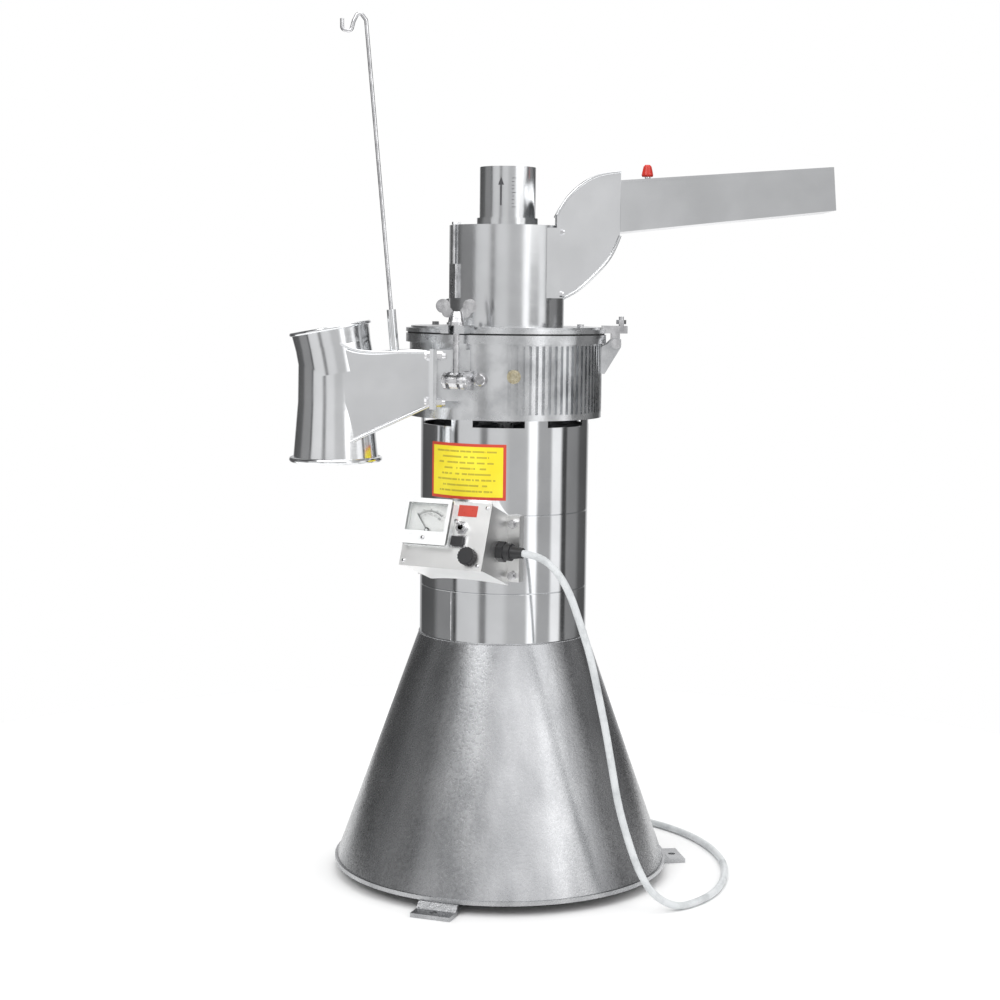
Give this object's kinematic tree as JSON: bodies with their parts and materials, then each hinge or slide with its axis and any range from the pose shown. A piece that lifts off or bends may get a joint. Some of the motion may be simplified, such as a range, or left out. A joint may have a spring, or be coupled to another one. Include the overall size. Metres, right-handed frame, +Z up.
{
  "type": "hammer mill",
  "caption": "Upright hammer mill on a conical skirt, with an inclined feed tray, a clamped hinged lid, a tangential outlet with a T-pipe, and a tilted control box.",
  "frame": {"origin": "on the machine's upright axis at floor level, the centre of the floor bolts' circle", "axes": "+Z up along the shaft, -Y towards the control box's side, +X along the feed tray"},
  "size_m": [0.6364, 0.561, 1.0177],
  "materials": {
    "skirt_steel": "satin, mottled",
    "polished_steel": "polished",
    "cast_steel": "bright, machined",
    "hardware": "bright plated",
    "motor_iron": "bare",
    "hard_steel": "ground",
    "gasket_rubber": "matt",
    "brass": "bright",
    "box_steel": "polished sheet",
    "meter_plastic": "pale",
    "meter_window": "clear",
    "needle_paint": "matt black",
    "red_plate": "printed",
    "black_plastic": "moulded",
    "red_plastic": "moulded",
    "label_yellow": "printed",
    "cord_jacket": "pale grey, soft"
  },
  "bodies": {
    "mill": {"base_skirt": "skirt_steel", "base_feet": "skirt_steel", "lower_shell": "polished_steel", "middle_shell": "polished_steel", "upper_shell": "polished_steel", "motor_end_plates": "motor_iron", "motor_stator": "motor_iron", "motor_bearings": "hard_steel", "mill_ring": "cast_steel", "chamber_floor": "hard_steel", "toothed_liner": "hard_steel", "chamber_gasket": "gasket_rubber", "outlet_spout": "cast_steel", "outlet_bolts": "hardware", "earth_screw": "brass", "outlet_duct": "polished_steel", "hinge_pins": "hardware", "clamp_brackets": "hardware", "control_box": "box_steel", "control_panel": "box_steel", "box_nuts": "hardware", "ammeter_case": "meter_plastic", "ammeter_window": "meter_window", "panel_plate": "red_plate", "switch_bezels": "hardware", "cable_gland": "black_plastic", "label_plate": "label_yellow", "power_cord": "cord_jacket", "cord_coil": "cord_jacket", "power_plug": "cord_jacket"},
    "rotor": {"motor_shaft": "hard_steel", "rotor_core": "motor_iron", "cooling_fan": "motor_iron", "rotor_discs": "hard_steel", "rotor_fasteners": "hard_steel", "impeller": "hard_steel"},
    "hammer_1": {"hammer_1": "hard_steel"},
    "hammer_2": {"hammer_2": "hard_steel"},
    "hammer_3": {"hammer_3": "hard_steel"},
    "hammer_4": {"hammer_4": "hard_steel"},
    "lid": {"lid_flange": "cast_steel", "lid_screws": "hardware", "hinge_bar": "hardware", "upper_cylinder": "polished_steel", "scale_strap": "hardware", "feed_chute": "polished_steel", "feed_tray": "polished_steel"},
    "fineness_tube": {"fineness_tube": "polished_steel"},
    "tube_lock_screw": {"tube_lock_screw": "hardware"},
    "feed_gate": {"feed_gate": "polished_steel", "gate_knob": "red_plastic"},
    "wing_nut_front": {"wing_nut_front": "hardware"},
    "wing_nut_back": {"wing_nut_back": "hardware"},
    "swing_bolt_front": {"swing_bolt_front": "hardware"},
    "swing_bolt_back": {"swing_bolt_back": "hardware"},
    "bag_hook": {"bag_hook": "hardware"},
    "toggle_lever": {"toggle_lever": "hardware"},
    "reset_button": {"reset_button": "black_plastic"},
    "round_knob": {"round_knob": "black_plastic"},
    "ammeter_needle": {"ammeter_needle": "needle_paint"}
  },
  "joints": [
    {"name": "rotor_spin", "type": "hinge", "parent": "mill", "child": "rotor", "pos_m": [0, 0, 0.4], "axis": [0, 0, 1], "continuous": true},
    {"name": "hammer_1_swing", "type": "hinge", "parent": "rotor", "child": "hammer_1", "pos_m": [0.03677, 0.03677, 0.591], "axis": [0, 0, 1], "range_deg": [-130, 130]},
    {"name": "hammer_2_swing", "type": "hinge", "parent": "rotor", "child": "hammer_2", "pos_m": [-0.03677, 0.03677, 0.591], "axis": [0, 0, 1], "range_deg": [-130, 130]},
    {"name": "hammer_3_swing", "type": "hinge", "parent": "rotor", "child": "hammer_3", "pos_m": [-0.03677, -0.03677, 0.591], "axis": [0, 0, 1], "range_deg": [-130, 130]},
    {"name": "hammer_4_swing", "type": "hinge", "parent": "rotor", "child": "hammer_4", "pos_m": [0.03677, -0.03677, 0.591], "axis": [0, 0, 1], "range_deg": [-130, 130]},
    {"name": "lid_hinge", "type": "hinge", "parent": "mill", "child": "lid", "pos_m": [0.131, 0, 0.644], "axis": [0, 1, 0], "range_deg": [0, 95]},
    {"name": "fineness_slide", "type": "slide", "parent": "lid", "child": "fineness_tube", "axis": [0, 0, 1], "range_m": [-0.03, 0.03]},
    {"name": "lock_screw_turn", "type": "hinge", "parent": "lid", "child": "tube_lock_screw", "pos_m": [0, 0.045, 0.7865], "axis": [0, 1, 0], "range_deg": [0, 360]},
    {"name": "gate_slide", "type": "slide", "parent": "lid", "child": "feed_gate", "axis": [0, 0, 1], "range_m": [0, 0.04]},
    {"name": "wing_nut_front_turn", "type": "hinge", "parent": "lid", "child": "wing_nut_front", "pos_m": [-0.057, -0.122, 0.67], "axis": [0, 0, 1], "continuous": true},
    {"name": "wing_nut_back_turn", "type": "hinge", "parent": "lid", "child": "wing_nut_back", "pos_m": [-0.057, 0.122, 0.67], "axis": [0, 0, 1], "continuous": true},
    {"name": "swing_bolt_front_swing", "type": "hinge", "parent": "mill", "child": "swing_bolt_front", "pos_m": [-0.057, -0.122, 0.602], "axis": [0.906, -0.4233, 0], "range_deg": [0, 105]},
    {"name": "swing_bolt_back_swing", "type": "hinge", "parent": "mill", "child": "swing_bolt_back", "pos_m": [-0.057, 0.122, 0.602], "axis": [-0.906, -0.4233, 0], "range_deg": [0, 105]},
    {"name": "bag_hook_swivel", "type": "hinge", "parent": "mill", "child": "bag_hook", "pos_m": [-0.133, -0.092, 0.682], "axis": [-0.0924, 0, 0.9957], "continuous": true},
    {"name": "toggle_throw", "type": "hinge", "parent": "mill", "child": "toggle_lever", "pos_m": [-0.04707, -0.13642, 0.43446], "axis": [0.891, -0.454, 0], "range_deg": [0, 24]},
    {"name": "reset_press", "type": "slide", "parent": "mill", "child": "reset_button", "axis": [0.4266, 0.8373, -0.342], "range_m": [0, 0.002], "stiffness_N_per_m": 300, "springref_m": -0.002},
    {"name": "knob_turn", "type": "hinge", "parent": "mill", "child": "round_knob", "pos_m": [-0.0389, -0.15344, 0.40298], "axis": [-0.4266, -0.8373, 0.342], "range_deg": [-270, 0]},
    {"name": "needle_swing", "type": "hinge", "parent": "mill", "child": "ammeter_needle", "pos_m": [-0.08468, -0.11994, 0.42788], "axis": [-0.4266, -0.8373, 0.342], "range_deg": [-80, 0]}
  ]
}
